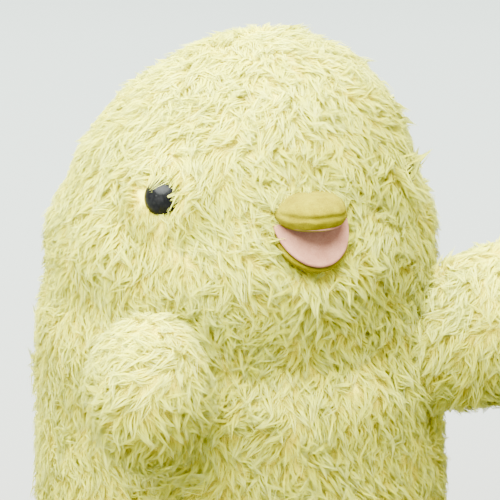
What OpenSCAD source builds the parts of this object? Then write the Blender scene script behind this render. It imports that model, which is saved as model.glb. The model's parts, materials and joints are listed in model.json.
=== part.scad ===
// Moving mouth hand puppet: a plush chick with a felt beak.
// Millimetres, +Z up. The origin is the centre of the hand opening, on the table.
// The chick faces -Y, so its left is +X. The lower beak is drawn open and both wings are out.

/* [Body] */
// Radius of the ball at the top of the body, which the head turns on
collar_r = 60; // [48:0.5:72]
// How far the collar rises above the neck's centre
collar_rise = 28; // [22:0.5:30]
// Height of the neck's centre, where the head nods and turns
neck_z = 130; // [105:1:160]
// How far the body swells out between collar and hem
body_swell = 4; // [0:0.5:8]
// How far the hem draws in
hem_in = 2; // [0:0.5:6]
// Half angle of the belly panel, seen from above
belly_angle = 62; // [50:1:75]

/* [Cloth layers] */
// Thickness of the plush cloth, pile pressed flat
plush_t = 3; // [2:0.25:4]
// Thickness of the wadding in the body
wadding_t = 7; // [5:0.5:9]
// Thickness of the lining cloth
lining_t = 1.2; // [0.8:0.1:2]
// Gap between layers that slide on each other
slide_gap = 0.6; // [0.4:0.1:1]
// Height of the turned hem round the hand opening
hem_h = 10; // [6:1:16]
// Radius of the hand opening
opening_r = 44; // [36:0.5:46]

/* [Head] */
// Height of the head ball's centre above the neck's centre
head_rise = 35; // [30:1:40]
// Height of the head's lower rim above the neck's centre
rim_rise = 26; // [23:0.5:28]
// Radius of the hand room inside the head
hand_r = 36; // [30:1:38]
// Height of the hand room's centre above the neck's centre
hand_rise = 40; // [34:1:44]
// Height above the neck's centre up to which the head is hollow for the collar
cup_rise = 44.5; // [43:0.5:47]
// Width of the middle strip of the head
gusset_w = 44; // [30:1:56]

/* [Eyes] */
// Radius of a bead eye
eye_r = 6; // [4:0.25:8]
// How far a bead eye bulges
eye_bulge = 4.4; // [3:0.2:6]
// Angle of the eyes from straight ahead
eye_turn = 49; // [35:1:60]
// Angle of the eyes above the head's centre
eye_lift = 20; // [10:1:30]
// Radius of an eye's shank
shank_r = 1.6; // [1.2:0.1:2.2]
// Radius of the washer behind an eye
washer_r = 7.5; // [5.5:0.25:9]
// Thickness of the washer
washer_t = 1.2; // [0.8:0.1:2]

/* [Beak] */
// Height of the mouth's hinge above the neck's centre
mouth_rise = 47; // [43:0.5:52]
// How deep the mouth's hinge lies behind the face
mouth_in = 2.2; // [1:0.1:4]
// Half width of the upper beak
upper_half_w = 11.5; // [8:0.25:14]
// How far the upper beak reaches out from the hinge
upper_reach = 14; // [11:0.5:18]
// Height of the upper beak
upper_h = 9; // [7:0.1:11]
// Half width of the lower beak
lower_half_w = 11.5; // [8:0.25:13]
// How far the lower beak reaches out from the hinge
lower_reach = 15; // [10:0.5:17]
// Depth of the lower beak
lower_h = 8.6; // [8:0.1:11]
// Thickness of the beak felt
felt_t = 1.2; // [0.8:0.1:1.6]
// Thickness of the boards that stiffen the mouth
board_t = 1; // [0.6:0.1:1.5]
// Thickness of a fingertip pocket's cloth
pocket_t = 0.8; // [0.5:0.1:1.2]
// Half gap between the two halves of the mouth when shut
mouth_gap = 0.4; // [0.3:0.1:1]
// How far the lower beak hangs open
jaw_open = 50; // [0:1:60]
// Space round the beak in the face
face_gap = 1.6; // [1:0.2:3]
// Depth of the fingertip pocket behind the upper beak
finger_depth = 10; // [8:0.5:12]
// Height of the fingertip pocket behind the upper beak
finger_h = 10; // [8:0.5:12]

/* [Wings] */
// Angle of each wing seam from straight ahead
seam_turn = 52; // [48:1:58]
// How far a wing's pivot lies inside the collar ball
pivot_in = 5; // [3:0.5:6]
// How far the wing pivots lie below the neck's centre
pivot_drop = 6; // [4:0.5:10]
// Radius of the ball that the wing turns on
shoulder_r = 20; // [16:0.5:21]
// Distance from the pivot to the shoulder pad's back
shoulder_back = 5; // [4:0.5:9]
// Gap between the shoulder ball, its socket and the wing
shoulder_gap = 0.5; // [0.4:0.1:1]
// Distance from the pivot to the wing's middle
wing_mid = 32; // [29:0.5:38]
// Half length of the wing
wing_half_l = 24; // [20:0.5:28]
// Half height of the wing
wing_half_h = 19; // [14:0.5:20]
// Half thickness of the wing
wing_half_t = 14; // [10:0.5:15]
// Thickness of the wing's plush
wing_plush_t = 3; // [2:0.25:4]
// Where the left wing points, from straight ahead
left_point = 79; // [60:1:90]
// Where the right wing points, from straight ahead
right_point = 25; // [15:1:45]
// How far both wings are lifted
wing_lift = 6; // [0:1:12]

/* [Label] */
// Width of the blank care label
label_w = 20; // [12:1:30]
// Length of the blank care label
label_l = 16; // [10:1:26]
// Thickness of the care label
label_t = 0.8; // [0.4:0.1:1.2]
// Height of the care label's lower edge
label_z = 14; // [6:1:30]

/* [Hidden] */
$fn = 96;

big = 900;                  // reach of cutting blocks
cut = 1;                    // how far a cut runs past what it cuts
body_steps = 10;            // straight stretches in the body's outline
rim_w = 2.9;                // cloth left at the head's lower rim
lining_in = plush_t + wadding_t;
inner_in = lining_in + lining_t;
neck_r = collar_r - inner_in - slide_gap;
neck_low = 15;              // the neck lining's lower edge, degrees below level
neck_high = 40;             // its upper edge, degrees above level
cup_r = collar_r + slide_gap;
rim_r = sqrt(cup_r * cup_r - rim_rise * rim_rise) + rim_w;
head_r = sqrt(rim_r * rim_r + (head_rise - rim_rise) * (head_rise - rim_rise));
head_z = neck_z + head_rise;
hinge_z = neck_z + mouth_rise;
hinge_y = sqrt(head_r * head_r - (hinge_z - head_z) * (hinge_z - head_z)) - mouth_in;
bead_sink = 0.8;            // how deep an eye's flat back sits in the plush
eye_clear = 0.3;            // space round an eye in the plush
shank_clear = 0.1;          // space round a shank in the plush
shank_spare = 3;            // shank left behind the washer
washer_clear = 0.5;         // space round a washer in the wadding
washer_bed = 0.1;           // how far a washer's rim stands off the plush
washer_fit = 0.02;          // the washer's hole over the shank
eye_seat = head_r - bead_sink;
eye_cut = 2 * eye_bulge;    // height of the plush's cut over an eye
shank_l = plush_t + washer_t + shank_spare;
washer_at = sqrt(pow(head_r - plush_t, 2) - washer_r * washer_r) - washer_bed;
beak_tail = 3;              // how far the beak's felt runs back behind the hinge
layer_gap = 0.1;            // between cloth layers in the beak
jaw_room = 4.4;             // space under the lower beak, which swings down
mouth_depth = 12;           // how far the mouth's hole runs into the hand room
pocket_in = 1.2;            // from the felt to the fingertip pocket's side
pocket_back = 0.3;          // from the felt's end to the fingertip pocket
tip_flat = 0.2;             // flat on the tip of a wing's filling
mouth_felt_top = mouth_gap + felt_t;
board_top = mouth_felt_top + board_t;
pivot_r = collar_r - pivot_in;
pivot_z = neck_z - pivot_drop;
yellow = [0.96, 0.97, 0.80];
lemon = [0.90, 0.90, 0.62];
felt_yellow = [0.90, 0.82, 0.22];
felt_pink = [0.90, 0.72, 0.68];
cotton = [0.93, 0.92, 0.84];

// Radius of the body's outside at height z
function body_at(z) =
    let (u = min(max(z / neck_z, 0), 1))
    collar_r + body_swell * sin(180 * u) - hem_in * (1 - u) * (1 - u);

// The body and collar as one solid, "inset" inside the outer face and "over" past both ends
module body_form(inset, over = 0) {
    rotate_extrude()
        polygon(concat(
            [[0, -over], [body_at(0) - inset, -over]],
            [for (i = [0:body_steps]) [body_at(neck_z * i / body_steps) - inset, neck_z * i / body_steps]],
            [[0, neck_z]]));
    intersection() {
        translate([0, 0, neck_z]) sphere(r = collar_r - inset);
        translate([0, 0, neck_z]) cylinder(r = collar_r, h = collar_rise + over);
    }
}

// A layer of the body between two depths
module body_layer(outer, inner) {
    difference() {
        body_form(outer);
        body_form(inner, cut);
    }
}

// Everything within "half" degrees of straight ahead
module front_sector(half) {
    translate([0, 0, -big / 2])
        linear_extrude(big)
            polygon([
                [0, 0], [-big * sin(half), -big * cos(half)], [0, -big], [big * sin(half), -big * cos(half)]
            ]);
}

// Everything on one side of the centre plane: side is 1 for the left, -1 for the right
module side_block(side) {
    translate([side > 0 ? 0 : -big, -big / 2, -big / 2]) cube([big, big, big]);
}

// Puts children at a wing's pivot, +X along the wing
module at_pivot(side, point, lift) {
    translate([side * pivot_r * sin(seam_turn), -pivot_r * cos(seam_turn), pivot_z])
        rotate([0, 0, side > 0 ? point - 90 : -90 - point])
            rotate([0, -lift, 0])
                children();
}

// The hollows that the shoulder pads turn in, through the plush and the wadding
module shoulder_sockets() {
    for (side = [-1, 1])
        at_pivot(side, seam_turn, 0) sphere(r = shoulder_r + shoulder_gap);
}

// Straight holes through the wadding behind the shoulder pads
module armholes() {
    for (side = [-1, 1])
        at_pivot(side, seam_turn, 0)
            rotate([0, 90, 0])
                translate([0, 0, -pivot_r / 2]) cylinder(r = shoulder_r + shoulder_gap, h = pivot_r);
}

// The body's plush before it is cut into panels
module body_plush() {
    difference() {
        body_layer(0, plush_t);
        shoulder_sockets();
    }
}

module belly_panel() {
    color(yellow)
        intersection() {
            body_plush();
            front_sector(belly_angle);
        }
}

module back_panel(side) {
    color(yellow)
        difference() {
            intersection() {
                body_plush();
                side_block(side);
            }
            front_sector(belly_angle);
        }
}

module torso_wadding() {
    color(cotton)
        difference() {
            body_layer(plush_t, lining_in);
            armholes();
            translate([0, 0, -cut]) cylinder(r = collar_r + body_swell, h = hem_h + cut);
        }
}

module torso_lining() {
    color(cotton)
        difference() {
            body_layer(lining_in, inner_in);
            translate([0, 0, -cut]) cylinder(r = collar_r + body_swell, h = hem_h + cut);
        }
}

// The turned hem: a thick band of cloth with a round hole for the wrist
module hem_band() {
    color(cotton)
        difference() {
            intersection() {
                body_form(plush_t);
                cylinder(r = collar_r + body_swell, h = hem_h);
            }
            translate([0, 0, -cut]) cylinder(r = opening_r, h = hem_h + 2 * cut);
        }
}

module care_label() {
    color("white")
        difference() {
            translate([-label_t / 2, body_at(label_z) - plush_t / 2, label_z])
                cube([label_t, label_l + plush_t / 2, label_w]);
            body_form(0);
        }
}

module neck_lining() {
    color(cotton)
        translate([0, 0, neck_z])
            difference() {
                sphere(r = neck_r);
                sphere(r = neck_r - lining_t);
                translate([0, 0, neck_r * sin(neck_high)]) cylinder(r = big, h = big);
                translate([0, 0, -big - neck_r * sin(neck_low)]) cylinder(r = big, h = big);
            }
}

// The room inside the head for the collar and the hand, "grow" larger all round
module head_room(grow) {
    translate([0, 0, neck_z])
        intersection() {
            sphere(r = cup_r + grow);
            translate([0, 0, cup_rise + grow - big]) cylinder(r = big, h = big);
        }
    translate([0, 0, neck_z + hand_rise]) sphere(r = hand_r + grow);
}

// Cuts away all of the head below its rim
module below_rim() {
    translate([0, 0, neck_z + rim_rise - big]) cylinder(r = big, h = big);
}

// Puts children at the mouth's hinge; -Y is out of the face
module at_mouth() {
    translate([0, -hinge_y, hinge_z]) children();
}

// The hole through the face behind the beak
module mouth_hole() {
    half = max(upper_half_w, lower_half_w) + face_gap;
    low = lower_h + face_gap + jaw_room;
    high = max(upper_h, finger_h + board_t + felt_t + 2 * pocket_t) + face_gap;
    at_mouth()
        translate([-half, -upper_reach, -low])
            cube([2 * half, upper_reach + head_r - hand_r + mouth_depth, low + high]);
}

// Puts children at an eye, +Z out of the head, from the head's centre
module at_eye(side) {
    translate([0, 0, head_z])
        rotate([0, 0, side * eye_turn])
            rotate([90 - eye_lift, 0, 0])
                children();
}

// The shell of plush on the head, before it is cut into panels
module head_plush() {
    difference() {
        translate([0, 0, head_z]) sphere(r = head_r);
        translate([0, 0, head_z]) sphere(r = head_r - plush_t);
        head_room(lining_t);
        below_rim();
        mouth_hole();
        for (side = [-1, 1])
            at_eye(side) {
                translate([0, 0, eye_seat]) cylinder(r = eye_r + eye_clear, h = eye_cut);
                translate([0, 0, head_r - 2 * plush_t]) cylinder(r = shank_r + shank_clear, h = 2 * plush_t);
            }
    }
}

module gusset_block() {
    translate([-gusset_w / 2, -big / 2, -big / 2]) cube([gusset_w, big, big]);
}

module head_gusset() {
    color(yellow)
        intersection() {
            head_plush();
            gusset_block();
        }
}

module head_side(side) {
    color(yellow)
        difference() {
            intersection() {
                head_plush();
                side_block(side);
            }
            gusset_block();
        }
}

module head_wadding() {
    color(cotton)
        difference() {
            translate([0, 0, head_z]) sphere(r = head_r - plush_t);
            head_room(lining_t);
            below_rim();
            mouth_hole();
            for (side = [-1, 1])
                at_eye(side)
                    translate([0, 0, eye_seat - shank_l - cut])
                        cylinder(r = washer_r + washer_clear, h = shank_l + cut);
        }
}

module head_lining() {
    color(cotton)
        difference() {
            head_room(lining_t);
            head_room(0);
            below_rim();
            mouth_hole();
        }
}

// A domed bead with a flat back and a shank through the plush
module eye(side) {
    ball_r = (eye_r * eye_r + eye_bulge * eye_bulge) / (2 * eye_bulge);
    color([0.04, 0.04, 0.05])
        at_eye(side) {
            translate([0, 0, eye_seat])
                intersection() {
                    translate([0, 0, eye_bulge - ball_r]) sphere(r = ball_r);
                    cylinder(r = eye_r + cut, h = eye_bulge + cut);
                }
            translate([0, 0, eye_seat - shank_l]) cylinder(r = shank_r, h = shank_l + bead_sink);
        }
}

module eye_washer(side) {
    color("gainsboro")
        at_eye(side)
            translate([0, 0, washer_at - washer_t])
                difference() {
                    cylinder(r = washer_r, h = washer_t);
                    translate([0, 0, -cut]) cylinder(r = shank_r + washer_fit, h = washer_t + 2 * cut);
                }
}

// Half of a beak as a solid: a half oval seen from above, domed up from the mouth plane,
// with a straight stretch, "tail" long, behind the hinge
module beak_half(half_w, reach, h, tail) {
    intersection() {
        scale([half_w, reach, h]) sphere(r = 1);
        translate([-big / 2, -big, 0]) cube([big, big, big]);
    }
    if (tail > 0)
        intersection() {
            rotate([-90, 0, 0]) linear_extrude(tail) scale([half_w, h]) circle(r = 1);
            translate([-big / 2, 0, 0]) cube([big, big, big]);
        }
}

// The part of a beak half between two heights above the mouth plane
module beak_slice(half_w, reach, h, tail, from, to) {
    intersection() {
        beak_half(half_w, reach, h, tail);
        translate([-big / 2, -big / 2, from]) cube([big, big, to - from]);
    }
}

module upper_beak_felt() {
    color(felt_yellow)
        at_mouth()
            difference() {
                beak_slice(upper_half_w, upper_reach, upper_h, beak_tail, mouth_gap, upper_h + cut);
                beak_half(upper_half_w - felt_t, upper_reach - felt_t, upper_h - felt_t, beak_tail + cut);
            }
}

module mouth_leaf(half_w, reach, h, from, to, tail) {
    skin = felt_t + layer_gap;
    beak_slice(half_w - skin, reach - skin, h - skin, tail, from, to);
}

module upper_mouth_felt() {
    color(felt_pink)
        at_mouth() mouth_leaf(upper_half_w, upper_reach, upper_h, mouth_gap, mouth_felt_top, beak_tail);
}

module upper_mouth_board() {
    color("tan")
        at_mouth() mouth_leaf(upper_half_w, upper_reach, upper_h, mouth_felt_top, board_top, finger_depth);
}

// A sleeve for a fingertip behind the upper beak, open to the back
module upper_finger_pocket() {
    half = upper_half_w - felt_t - pocket_in;
    color(cotton)
        at_mouth()
            translate([0, beak_tail + pocket_back, board_top])
                difference() {
                    translate([-half, 0, 0]) cube([2 * half, finger_depth, finger_h]);
                    translate([-half + pocket_t, pocket_t, pocket_t])
                        cube([2 * (half - pocket_t), finger_depth, finger_h - 2 * pocket_t]);
                }
}

// Puts children in the lower beak's place: it hangs open, upside down under the mouth plane
module at_jaw() {
    at_mouth() rotate([jaw_open, 0, 0]) mirror([0, 0, 1]) children();
}

module lower_beak_felt() {
    color(felt_yellow)
        at_jaw()
            difference() {
                beak_slice(lower_half_w, lower_reach, lower_h, 0, mouth_gap, lower_h + cut);
                beak_half(lower_half_w - felt_t, lower_reach - felt_t, lower_h - felt_t, cut);
            }
}

module lower_mouth_felt() {
    color(felt_pink)
        at_jaw() mouth_leaf(lower_half_w, lower_reach, lower_h, mouth_gap, mouth_felt_top, 0);
}

module lower_mouth_board() {
    color("tan")
        at_jaw() mouth_leaf(lower_half_w, lower_reach, lower_h, mouth_felt_top, board_top, 0);
}

// A pocket for the thumb's tip inside the lower beak, open to the back
module lower_finger_pocket() {
    skin = felt_t + layer_gap;
    color(cotton)
        at_jaw()
            difference() {
                beak_slice(lower_half_w - skin, lower_reach - skin, lower_h - skin, 0, board_top, lower_h);
                intersection() {
                    beak_half(lower_half_w - skin - pocket_t, lower_reach - skin - pocket_t,
                        lower_h - skin - pocket_t, cut);
                    translate([-big / 2, -big / 2, board_top + pocket_t / 2]) cube([big, big, big]);
                }
            }
}

// The whole wing, "inset" under its surface, hollowed at the root for the shoulder ball
module wing_form(inset) {
    difference() {
        translate([wing_mid, 0, 0])
            scale([wing_half_l - inset, wing_half_t - inset, wing_half_h - inset])
                sphere(r = 1);
        sphere(r = shoulder_r + shoulder_gap + inset);
    }
}

function wing_point(side) = side > 0 ? left_point : right_point;

// One skin of a wing: up is 1 for the top, -1 for the underside
module wing_skin(side, up) {
    color(up > 0 ? yellow : lemon)
        at_pivot(side, wing_point(side), wing_lift)
            intersection() {
                difference() {
                    wing_form(0);
                    wing_form(wing_plush_t);
                }
                translate([0, -big / 2, up > 0 ? 0 : -big]) cube([big, big, big]);
            }
}

// The wing's filling, with a tiny flat at the tip
module wing_wadding(side) {
    tip = wing_mid + wing_half_l - wing_plush_t - tip_flat;
    color(cotton)
        at_pivot(side, wing_point(side), wing_lift)
            intersection() {
                wing_form(wing_plush_t);
                translate([0, -big / 2, -big / 2]) cube([tip, big, big]);
            }
}

// The shoulder pad: the outer cap of the ball that the wing turns on
module wing_root(side) {
    color(lemon)
        at_pivot(side, wing_point(side), 0)
            intersection() {
                sphere(r = shoulder_r);
                translate([shoulder_back, -big / 2, -big / 2]) cube([big, big, big]);
            }
}

belly_panel();
back_panel(1);  // back_panel_left
back_panel(-1);  // back_panel_right
torso_wadding();
torso_lining();
hem_band();
care_label();
neck_lining();
head_gusset();
head_side(1);  // head_side_left
head_side(-1);  // head_side_right
head_wadding();
head_lining();
eye(1);  // eye_left
eye(-1);  // eye_right
eye_washer(1);  // eye_washer_left
eye_washer(-1);  // eye_washer_right
upper_beak_felt();
upper_mouth_board();
upper_mouth_felt();
upper_finger_pocket();
lower_beak_felt();
lower_mouth_board();
lower_mouth_felt();
lower_finger_pocket();
wing_root(1);  // wing_left_root
wing_skin(1, 1);  // wing_left_top
wing_skin(1, -1);  // wing_left_under
wing_wadding(1);  // wing_left_wadding
wing_root(-1);  // wing_right_root
wing_skin(-1, 1);  // wing_right_top
wing_skin(-1, -1);  // wing_right_under
wing_wadding(-1);  // wing_right_wadding
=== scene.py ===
"""Looks of a plush chick hand puppet whose felt beak opens and whose wings wave."""
import json
import logging
import math
from dataclasses import dataclass
from enum import Enum

import bmesh
import bpy
import numpy as np
from mathutils import Matrix, Vector


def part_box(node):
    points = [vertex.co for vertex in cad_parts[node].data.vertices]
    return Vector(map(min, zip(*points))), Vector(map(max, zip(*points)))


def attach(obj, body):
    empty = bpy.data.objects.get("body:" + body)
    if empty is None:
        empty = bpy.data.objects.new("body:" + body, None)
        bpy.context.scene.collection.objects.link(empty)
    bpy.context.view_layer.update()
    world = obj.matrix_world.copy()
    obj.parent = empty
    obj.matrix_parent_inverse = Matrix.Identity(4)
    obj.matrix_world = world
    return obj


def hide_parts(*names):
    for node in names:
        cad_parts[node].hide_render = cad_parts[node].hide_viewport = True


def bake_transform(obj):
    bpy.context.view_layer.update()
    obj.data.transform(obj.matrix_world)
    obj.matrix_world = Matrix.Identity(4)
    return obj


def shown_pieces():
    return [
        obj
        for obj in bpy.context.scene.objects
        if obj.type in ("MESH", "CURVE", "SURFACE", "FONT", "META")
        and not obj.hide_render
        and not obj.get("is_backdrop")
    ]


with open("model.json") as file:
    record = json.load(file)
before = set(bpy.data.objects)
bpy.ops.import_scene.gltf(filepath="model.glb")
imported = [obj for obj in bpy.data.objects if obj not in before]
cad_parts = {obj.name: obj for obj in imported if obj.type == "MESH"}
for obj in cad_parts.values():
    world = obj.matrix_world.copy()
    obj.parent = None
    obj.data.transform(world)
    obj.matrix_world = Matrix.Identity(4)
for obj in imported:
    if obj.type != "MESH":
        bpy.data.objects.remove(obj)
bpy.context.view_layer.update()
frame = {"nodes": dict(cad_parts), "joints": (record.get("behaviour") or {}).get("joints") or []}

log = logging.getLogger("puppet")
MM = 0.001
Array = np.ndarray


class Side(Enum):
    """The puppet's own left or right, with its sign along X."""

    LEFT = 1
    RIGHT = -1

    @property
    def word(self) -> str:
        """left or right, as the nodes are named."""
        return self.name.lower()


# ---------------------------------------------------------------- places


def joint(name: str) -> dict:
    """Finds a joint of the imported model.

    Args:
        name: the joint's name.

    Returns:
        The joint's record.
    """
    return next(j for j in frame["joints"] if j["name"] == name)


def low(node: str) -> Array:
    """Lowest corner of a CAD node, in millimetres."""
    return np.array(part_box(node)[0]) / MM


def high(node: str) -> Array:
    """Highest corner of a CAD node, in millimetres."""
    return np.array(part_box(node)[1]) / MM


@dataclass(frozen=True)
class Anatomy:
    """Where the puppet's main places are, in millimetres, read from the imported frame."""

    head_r: float = float(high("head_side_left")[0])
    head_top: float = float(high("head_gusset")[2])
    neck_z: float = joint("head_nod")["pos_m"][2] / MM
    hinge_y: float = joint("jaw_drop")["pos_m"][1] / MM
    hinge_z: float = joint("jaw_drop")["pos_m"][2] / MM
    plush: float = 3.0
    turn_zone: tuple[float, float] = (-4.0, 16.0)
    nod_zone: tuple[float, float] = (16.0, 38.0)

    @property
    def head_z(self) -> float:
        """Height of the head ball's centre."""
        return self.head_top - self.head_r

    @property
    def hinge(self) -> Array:
        """The mouth's hinge point."""
        return np.array([0.0, self.hinge_y, self.hinge_z])

    def eye(self, side: Side) -> Array:
        """Middle of a bead eye."""
        node = f"eye_{side.word}"
        return (low(node) + high(node)) / 2


A = Anatomy()


# ---------------------------------------------------------------- noise and meshes


class Ripple:
    """A smooth, repeatable wobble in space, the sum of a few sine waves."""

    def __init__(self, size: float, seed: int, waves: int = 7) -> None:
        """Draws the waves.

        Args:
            size: rough width of one bump, in millimetres.
            seed: fixed seed.
            waves: how many waves are summed.
        """
        rng = np.random.default_rng(seed)
        way = rng.normal(size=(waves, 3))
        way /= np.linalg.norm(way, axis=1)[:, None]
        self.way = way * (math.pi / size) * rng.uniform(0.7, 1.4, waves)[:, None]
        self.start = rng.uniform(0, 2 * math.pi, waves)
        self.scale = 1.6 / waves

    def __call__(self, points: Array) -> Array:
        """Wobble at each point, about -1 to 1.

        Args:
            points: N by 3, in millimetres.

        Returns:
            N values.
        """
        return np.sin(points @ self.way.T + self.start).sum(1) * self.scale


def smooth(value: Array, start: float, end: float) -> Array:
    """Smooth step from 0 at start to 1 at end."""
    t = np.clip((value - start) / (end - start), 0, 1)
    return t * t * (3 - 2 * t)


def unit(vectors: Array) -> Array:
    """Vectors scaled to length one."""
    return vectors / np.maximum(np.linalg.norm(vectors, axis=-1, keepdims=True), 1e-9)


def new_mesh(name: str, points: Array, faces: list, rounded: bool = True) -> bpy.types.Object:
    """Makes an object from points and faces.

    Args:
        name: the piece's name.
        points: N by 3, in millimetres.
        faces: vertex numbers of each face, wound so that it faces outwards.
        rounded: whether it is shaded smooth.

    Returns:
        The new object, at the origin.
    """
    mesh = bpy.data.meshes.new(name)
    mesh.from_pydata((np.asarray(points) * MM).tolist(), [], faces)
    mesh.validate()
    mesh.polygons.foreach_set("use_smooth", [rounded] * len(mesh.polygons))
    obj = bpy.data.objects.new(name, mesh)
    bpy.context.scene.collection.objects.link(obj)
    return obj


def grid_faces(rows: int, cols: int, wrap: bool, flip: bool = False) -> list:
    """Quads of a grid of rows by cols points.

    Args:
        rows: number of rows.
        cols: number of points in a row.
        wrap: whether each row closes on itself.
        flip: whether the faces turn over.

    Returns:
        A list of quads.
    """
    faces = []
    for i in range(rows - 1):
        for j in range(cols if wrap else cols - 1):
            k = (j + 1) % cols
            quad = [i * cols + j, i * cols + k, (i + 1) * cols + k, (i + 1) * cols + j]
            faces.append(quad[::-1] if flip else quad)
    return faces


def close_outwards(obj: bpy.types.Object) -> None:
    """Closes a mesh's seams and poles and turns its faces outwards."""
    bm = bmesh.new()
    bm.from_mesh(obj.data)
    bmesh.ops.remove_doubles(bm, verts=bm.verts, dist=0.00002)
    holes = [e for e in bm.edges if e.is_boundary]
    if holes:
        bmesh.ops.holes_fill(bm, edges=holes, sides=0)
    bmesh.ops.recalc_face_normals(bm, faces=bm.faces)
    bm.to_mesh(obj.data)
    bm.free()


def thickened(obj: bpy.types.Object, thickness: float, offset: float) -> bpy.types.Object:
    """Gives a surface the thickness of its cloth.

    Args:
        obj: the surface.
        thickness: in millimetres.
        offset: -1 for inwards, 0 for both ways, 1 for outwards.

    Returns:
        The same object, as a plain mesh.
    """
    mod = obj.modifiers.new("cloth", "SOLIDIFY")
    mod.thickness = thickness * MM
    mod.offset = offset
    return finished(obj)


def picked(points: Array, faces: list, keep: Array) -> tuple[Array, list, Array]:
    """Picks some faces of a mesh and the points that they use.

    Args:
        points: N by 3.
        faces: the point numbers of each face.
        keep: one truth value for each face.

    Returns:
        The used points, the kept faces with new numbers, and the used points' old numbers.
    """
    kept = [f for f, k in zip(faces, keep) if k]
    used = np.unique(np.concatenate([np.array(f) for f in kept]))
    back = np.full(len(points), -1)
    back[used] = np.arange(len(used))
    return points[used], [[int(back[v]) for v in f] for f in kept], used


def finished(obj: bpy.types.Object) -> bpy.types.Object:
    """Applies an object's modifiers, so that only a plain mesh is left.

    Args:
        obj: an object with modifiers.

    Returns:
        The same object.
    """
    depsgraph = bpy.context.evaluated_depsgraph_get()
    depsgraph.update()
    mesh = bpy.data.meshes.new_from_object(obj.evaluated_get(depsgraph))
    obj.modifiers.clear()
    old = obj.data
    obj.data = mesh
    bpy.data.meshes.remove(old)
    mesh.name = obj.name
    return obj


def subdivided(obj: bpy.types.Object, levels: int) -> bpy.types.Object:
    """Rounds a mesh with a subdivision surface and applies it."""
    mod = obj.modifiers.new("round", "SUBSURF")
    mod.levels = mod.render_levels = levels
    return finished(obj)


# ---------------------------------------------------------------- node helpers


class Nodes:
    """A short way to build a node tree."""

    def __init__(self, tree: bpy.types.NodeTree) -> None:
        """Keeps the tree."""
        self.tree = tree

    def add(self, kind: str, values: dict | None = None, **props: object) -> bpy.types.Node:
        """Adds a node.

        Args:
            kind: the node's type name.
            values: input name or number to a value or a socket to link.
            props: properties to set on the node.

        Returns:
            The new node.
        """
        node = self.tree.nodes.new(kind)
        for key, value in props.items():
            setattr(node, key, value)
        for key, value in (values or {}).items():
            if isinstance(value, bpy.types.NodeSocket):
                self.tree.links.new(value, node.inputs[key])
            else:
                node.inputs[key].default_value = value
        return node

    def math(self, operation: str, a: object, b: object = 0.0) -> bpy.types.NodeSocket:
        """A math node's output, of two values or sockets."""
        return self.add("ShaderNodeMath", {0: a, 1: b}, operation=operation).outputs[0]

    def vector(self, operation: str, a: object, b: object = (0, 0, 0)) -> bpy.types.NodeSocket:
        """A vector math node's vector output."""
        return self.add("ShaderNodeVectorMath", {0: a, 1: b}, operation=operation).outputs[0]

    def scaled(self, a: object, by: object) -> bpy.types.NodeSocket:
        """A vector times a number."""
        node = self.add("ShaderNodeVectorMath", {0: a, "Scale": by}, operation="SCALE")
        return node.outputs[0]

    def mix(self, fac: object, a: object, b: object) -> bpy.types.NodeSocket:
        """Mixes two colours."""
        node = self.add("ShaderNodeMix", data_type="RGBA")
        for key, value in ((0, fac), (6, a), (7, b)):
            if isinstance(value, bpy.types.NodeSocket):
                self.tree.links.new(value, node.inputs[key])
            else:
                node.inputs[key].default_value = value
        return node.outputs[2]

    def ramp(self, fac: object, stops: list) -> bpy.types.NodeSocket:
        """A colour ramp's colour, through stops of (place, colour)."""
        node = self.add("ShaderNodeValToRGB", {0: fac})
        for i, (place, colour) in enumerate(stops):
            stop = node.color_ramp.elements[i] if i < 2 else node.color_ramp.elements.new(place)
            stop.position = place
            stop.color = colour
        return node.outputs[0]


def bumped(n: Nodes, shader: bpy.types.Node, height: object, strength: float, distance: float) -> None:
    """Raises a shader's surface by a height.

    Args:
        n: the material's helper.
        shader: the Principled BSDF.
        height: the height's socket.
        strength: from 0 to 1.
        distance: depth in metres.
    """
    bump = n.add("ShaderNodeBump", {"Height": height, "Strength": strength, "Distance": distance})
    n.tree.links.new(bump.outputs[0], shader.inputs["Normal"])


def rgb(r: float, g: float, b: float) -> tuple[float, float, float, float]:
    """A colour picked on screen, 0 to 255, as the linear colour that shaders use."""
    def linear(v: float) -> float:
        """One channel."""
        v /= 255
        return v / 12.92 if v <= 0.04045 else ((v + 0.055) / 1.055) ** 2.4
    return (linear(r), linear(g), linear(b), 1.0)


def shader_group(name: str, inputs: list, outputs: list) -> tuple[bpy.types.NodeTree, Nodes]:
    """Starts a shader node group.

    Args:
        name: the group's name.
        inputs: (name, socket type, default) of each input.
        outputs: (name, socket type) of each output.

    Returns:
        The tree and its helper.
    """
    tree = bpy.data.node_groups.new(name, "ShaderNodeTree")
    for label, kind, default in inputs:
        socket = tree.interface.new_socket(label, in_out="INPUT", socket_type=kind)
        if default is not None:
            socket.default_value = default
    for label, kind in outputs:
        tree.interface.new_socket(label, in_out="OUTPUT", socket_type=kind)
    return tree, Nodes(tree)


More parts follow.
